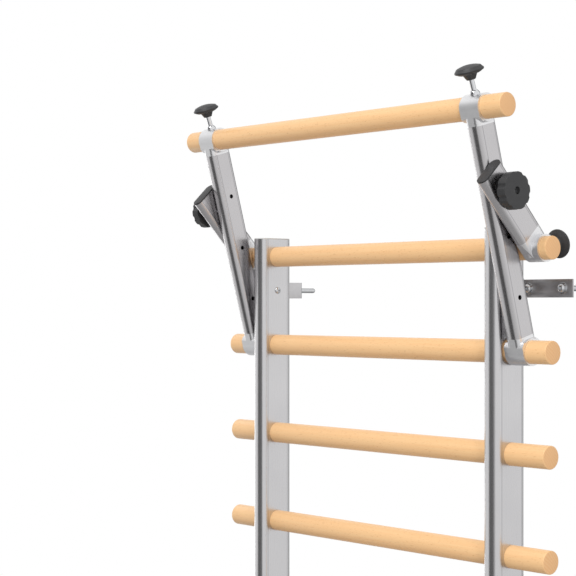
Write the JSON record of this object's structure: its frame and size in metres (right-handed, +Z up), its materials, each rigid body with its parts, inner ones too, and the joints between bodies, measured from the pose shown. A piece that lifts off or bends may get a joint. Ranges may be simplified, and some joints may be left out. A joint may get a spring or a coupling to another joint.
{
  "type": "swedish wall bars",
  "caption": "Wall bars with round beech rungs through two aluminium uprights on wall brackets, and a tilting pull-up bar on two clamped arms with struts.",
  "frame": {"origin": "in the wall plane, on the centre line, midway between the upper and lower wall brackets", "axes": "+X to the right along the rungs seen from the room, +Y into the wall, +Z up"},
  "size_m": [0.838, 0.2696, 2.5649],
  "materials": {
    "beech": "clear satin lacquer",
    "anodised_aluminium": "satin anodised",
    "cast_aluminium": "blasted casting",
    "zinc_steel": "zinc plated",
    "chrome": "polished",
    "grey_plastic": "moulded",
    "black_plastic": "moulded, fine grain"
  },
  "bodies": {
    "wall_frame": {"left_upright": "anodised_aluminium", "right_upright": "anodised_aluminium", "left_top_cap": "grey_plastic", "right_top_cap": "grey_plastic", "left_foot": "black_plastic", "right_foot": "black_plastic", "rung_01": "beech", "rung_02": "beech", "rung_03": "beech", "rung_04": "beech", "rung_05": "beech", "rung_06": "beech", "rung_07": "beech", "rung_08": "beech", "rung_09": "beech", "rung_10": "beech", "rung_11": "beech", "rung_12": "beech", "rung_13": "beech", "rung_screws": "zinc_steel", "left_lower_bracket": "zinc_steel", "right_lower_bracket": "zinc_steel", "left_upper_bracket": "zinc_steel", "right_upper_bracket": "zinc_steel", "bracket_screws": "chrome", "wall_screws": "zinc_steel", "wall_washers": "chrome"},
    "pull_up_arms": {"pull_up_bar": "beech", "left_arm": "anodised_aluminium", "right_arm": "anodised_aluminium", "left_arm_foot": "cast_aluminium", "right_arm_foot": "cast_aluminium", "left_arm_head": "cast_aluminium", "right_arm_head": "cast_aluminium", "bar_clamp_collars": "chrome"},
    "left_bar_clamp": {"left_bar_spindle": "chrome", "left_bar_knob": "black_plastic"},
    "left_strut_unit": {"left_strut": "anodised_aluminium", "left_strut_ring": "cast_aluminium", "left_strut_cap": "black_plastic", "left_strut_collar": "chrome"},
    "left_strut_clamp": {"left_strut_spindle": "chrome", "left_strut_knob": "black_plastic"},
    "left_star_clamp": {"left_star_knob": "black_plastic", "left_star_screw": "chrome"},
    "right_bar_clamp": {"right_bar_spindle": "chrome", "right_bar_knob": "black_plastic"},
    "right_strut_unit": {"right_strut": "anodised_aluminium", "right_strut_ring": "cast_aluminium", "right_strut_cap": "black_plastic", "right_strut_collar": "chrome"},
    "right_strut_clamp": {"right_strut_spindle": "chrome", "right_strut_knob": "black_plastic"},
    "right_star_clamp": {"right_star_knob": "black_plastic", "right_star_screw": "chrome"}
  },
  "joints": [
    {"name": "arm_tilt", "type": "hinge", "parent": "wall_frame", "child": "pull_up_arms", "pos_m": [0, -0.0685, 0.8545], "axis": [1, 0, 0], "range_deg": [0, 40]},
    {"name": "left_strut_swing", "type": "hinge", "parent": "wall_frame", "child": "left_strut_unit", "pos_m": [-0.3815, -0.0685, 1.0295], "axis": [1, 0, 0], "range_deg": [0, 100]},
    {"name": "left_bar_knob_turn", "type": "hinge", "parent": "pull_up_arms", "child": "left_bar_clamp", "pos_m": [-0.3535, -0.18003, 1.25942], "axis": [0, -0.3404, 0.9403], "range_deg": [0, 360]},
    {"name": "left_strut_knob_turn", "type": "hinge", "parent": "left_strut_unit", "child": "left_strut_clamp", "pos_m": [-0.3875, -0.0685, 1.0295], "axis": [0, 0.9863, 0.165], "range_deg": [0, 360]},
    {"name": "left_star_knob_turn", "type": "hinge", "parent": "left_strut_unit", "child": "left_star_clamp", "pos_m": [-0.3925, -0.15523, 1.1209], "axis": [-1, 0, 0], "range_deg": [0, 360]},
    {"name": "right_strut_swing", "type": "hinge", "parent": "wall_frame", "child": "right_strut_unit", "pos_m": [0.3815, -0.0685, 1.0295], "axis": [1, 0, 0], "range_deg": [0, 100]},
    {"name": "right_bar_knob_turn", "type": "hinge", "parent": "pull_up_arms", "child": "right_bar_clamp", "pos_m": [0.3535, -0.18003, 1.25942], "axis": [0, -0.3404, 0.9403], "range_deg": [0, 360]},
    {"name": "right_strut_knob_turn", "type": "hinge", "parent": "right_strut_unit", "child": "right_strut_clamp", "pos_m": [0.3875, -0.0685, 1.0295], "axis": [0, 0.9863, 0.165], "range_deg": [0, 360]},
    {"name": "right_star_knob_turn", "type": "hinge", "parent": "right_strut_unit", "child": "right_star_clamp", "pos_m": [0.3925, -0.15523, 1.1209], "axis": [1, 0, 0], "range_deg": [0, 360]}
  ],
  "couplings": [
    {"joint": "left_strut_swing", "follows": "arm_tilt", "ratio": 2.5},
    {"joint": "right_strut_swing", "follows": "arm_tilt", "ratio": 2.5}
  ]
}
